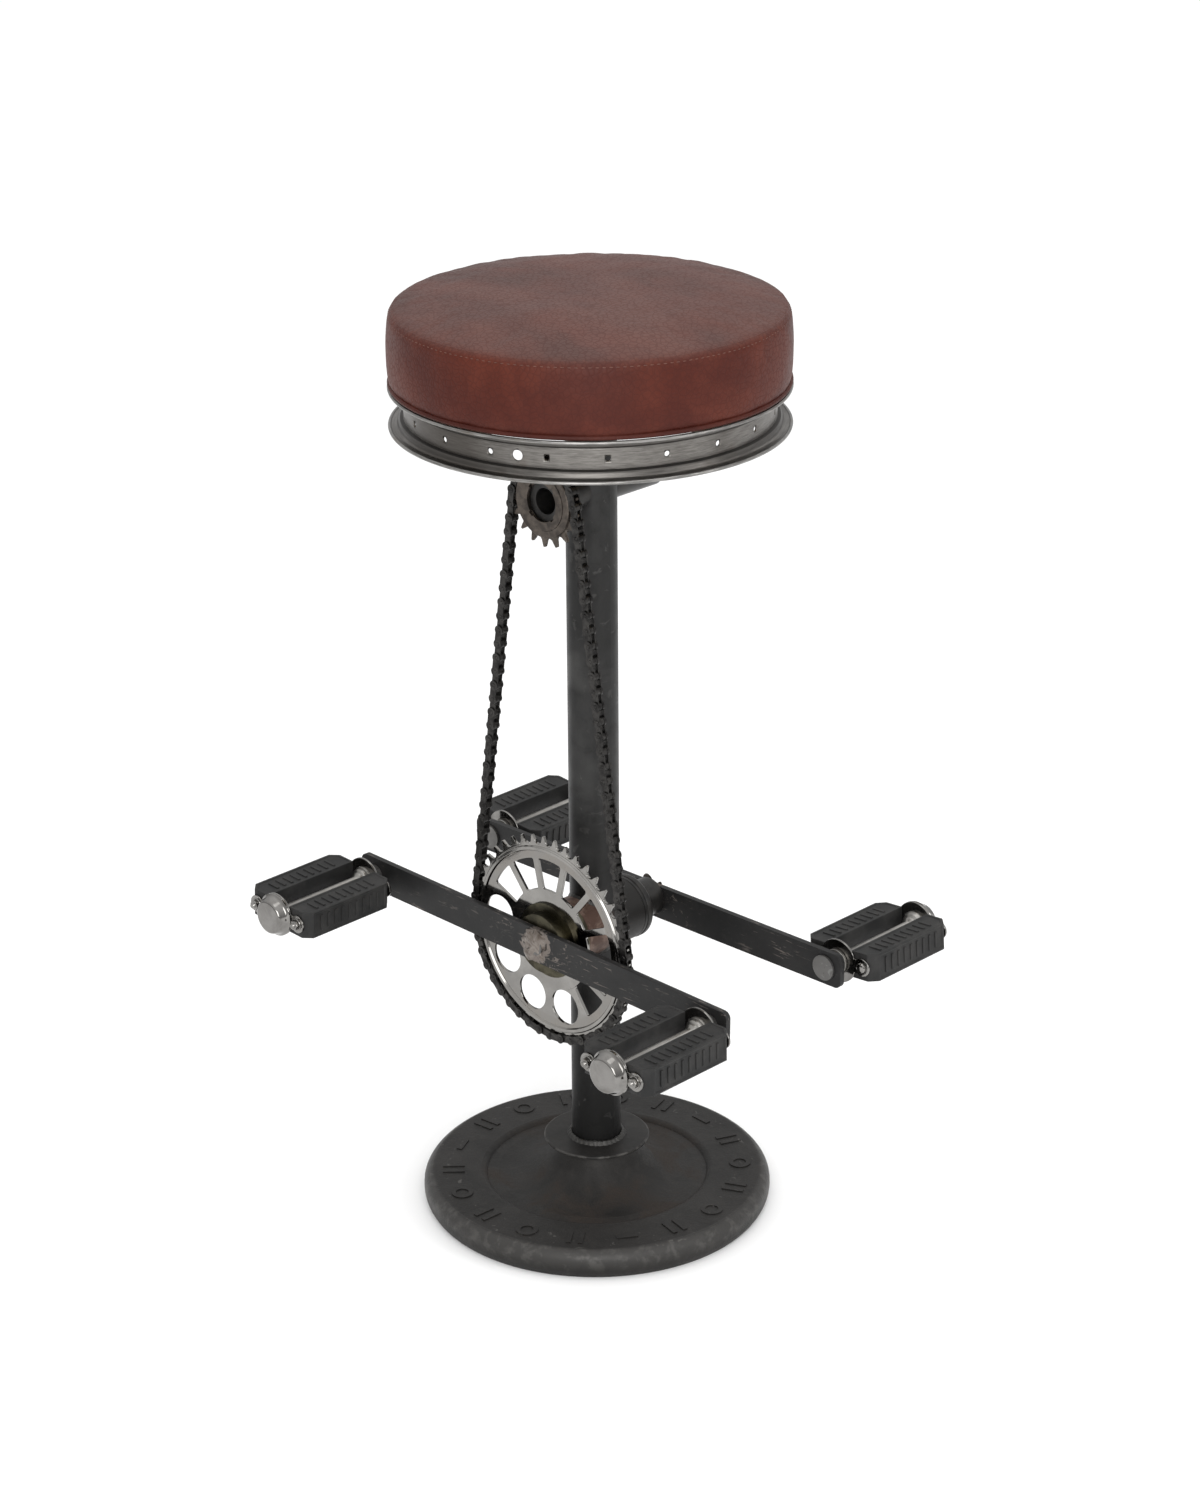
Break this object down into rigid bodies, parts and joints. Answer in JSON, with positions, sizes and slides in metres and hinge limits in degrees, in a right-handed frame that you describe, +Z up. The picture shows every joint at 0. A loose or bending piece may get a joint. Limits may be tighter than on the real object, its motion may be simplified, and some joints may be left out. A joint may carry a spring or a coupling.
{
  "type": "bicycle_part_bar_stool",
  "caption": "Bar stool made of bicycle parts: round iron base, steel post with a working crank, chain and freewheel, four rubber pedals as footrests, and a leather pad on a wheel rim.",
  "frame": {"origin": "on the floor, at the centre of the round base, under the post", "axes": "+Z up along the post, -Y the chain side, X along the pedal bars"},
  "size_m": [0.4723, 0.3923, 0.8158],
  "materials": {
    "dark_iron": "dark brown-black cast iron, worn lighter along the lips, rusty tint in the dish",
    "bare_steel": "bare steel, lightly scuffed, with welds left bright",
    "rusty_steel": "bare steel with brown rust",
    "yellow_zinc": "yellow zinc plating, worn",
    "bearing_steel": "ground bearing steel",
    "black_steel": "black paint, worn at the edges",
    "black_paint": "semi-gloss black paint, scratched, bare metal at the welds",
    "dull_chrome": "old chrome plating, dull",
    "dark_chain": "dark oxide with a film of old oil",
    "brown_steel": "dark brown steel with a worn bright edge",
    "satin_tube": "satin light grey",
    "bright_chrome": "polished chrome plating",
    "black_rubber": "matt black moulded rubber",
    "brushed_rim": "brushed bare steel, aged, with a darker groove",
    "plywood": "birch plywood",
    "red_brown_leather": "dark red-brown leather with a greyish sheen and a sewn seam at the top edge"
  },
  "bodies": {
    "frame": {"base_casting": "dark_iron", "hub_disc": "dark_iron", "foot_weld": "bare_steel", "post": "bare_steel", "bb_shell": "rusty_steel", "bb_cup_front": "yellow_zinc", "bb_cup_back": "yellow_zinc", "bb_balls": "bearing_steel", "bb_lock_ring": "black_steel", "freewheel_stub": "black_steel", "freewheel_body": "brown_steel", "freewheel_pawls": "bearing_steel", "freewheel_balls": "bearing_steel", "seat_arms": "bare_steel", "seat_screws": "black_steel", "seat_spacers": "bare_steel", "seat_board": "plywood", "rim": "brushed_rim", "cushion": "red_brown_leather", "chain_inner_plates": "dark_chain", "chain_outer_plates": "dark_chain", "chain_rollers": "dark_chain", "chain_pins": "bearing_steel"},
    "crank": {"crank_axle": "bare_steel", "bb_cones": "bearing_steel", "front_bar": "black_paint", "back_bar": "black_paint", "chainring": "dull_chrome", "chainring_collar": "yellow_zinc", "front_spacer": "yellow_zinc", "back_spacer": "bare_steel", "crank_welds": "bare_steel", "pedal_balls": "bearing_steel", "pedal_front_right_spindle": "bare_steel", "pedal_front_left_spindle": "bare_steel", "pedal_back_right_spindle": "bare_steel", "pedal_back_left_spindle": "bare_steel"},
    "freewheel": {"freewheel_ring": "brown_steel"},
    "pedal_front_right": {"pedal_front_right_barrel": "satin_tube", "pedal_front_right_plates": "bright_chrome", "pedal_front_right_blocks": "black_rubber", "pedal_front_right_bolts": "bright_chrome", "pedal_front_right_cap": "bright_chrome"},
    "pedal_front_left": {"pedal_front_left_barrel": "satin_tube", "pedal_front_left_plates": "bright_chrome", "pedal_front_left_blocks": "black_rubber", "pedal_front_left_bolts": "bright_chrome", "pedal_front_left_cap": "bright_chrome"},
    "pedal_back_right": {"pedal_back_right_barrel": "satin_tube", "pedal_back_right_plates": "bright_chrome", "pedal_back_right_blocks": "black_rubber", "pedal_back_right_bolts": "bright_chrome", "pedal_back_right_cap": "bright_chrome"},
    "pedal_back_left": {"pedal_back_left_barrel": "satin_tube", "pedal_back_left_plates": "bright_chrome", "pedal_back_left_blocks": "black_rubber", "pedal_back_left_bolts": "bright_chrome", "pedal_back_left_cap": "bright_chrome"}
  },
  "joints": [
    {"name": "crank_spin", "type": "hinge", "parent": "frame", "child": "crank", "pos_m": [0, 0, 0.2633], "axis": [0, 1, 0], "continuous": true, "deforming": ["chain_inner_plates", "chain_outer_plates", "chain_rollers", "chain_pins"]},
    {"name": "freewheel_spin", "type": "hinge", "parent": "frame", "child": "freewheel", "pos_m": [0, 0, 0.64997], "axis": [0, 1, 0], "continuous": true},
    {"name": "pedal_front_right_spin", "type": "hinge", "parent": "crank", "child": "pedal_front_right", "pos_m": [0.19796, 0, 0.25915], "axis": [0, 1, 0], "continuous": true},
    {"name": "pedal_front_left_spin", "type": "hinge", "parent": "crank", "child": "pedal_front_left", "pos_m": [-0.19796, 0, 0.26745], "axis": [0, 1, 0], "continuous": true},
    {"name": "pedal_back_right_spin", "type": "hinge", "parent": "crank", "child": "pedal_back_right", "pos_m": [0.19802, 0, 0.26034], "axis": [0, 1, 0], "continuous": true},
    {"name": "pedal_back_left_spin", "type": "hinge", "parent": "crank", "child": "pedal_back_left", "pos_m": [-0.19798, 0, 0.25826], "axis": [0, 1, 0], "continuous": true}
  ],
  "couplings": [
    {"joint": "freewheel_spin", "follows": "crank_spin", "ratio": 2.5882}
  ]
}
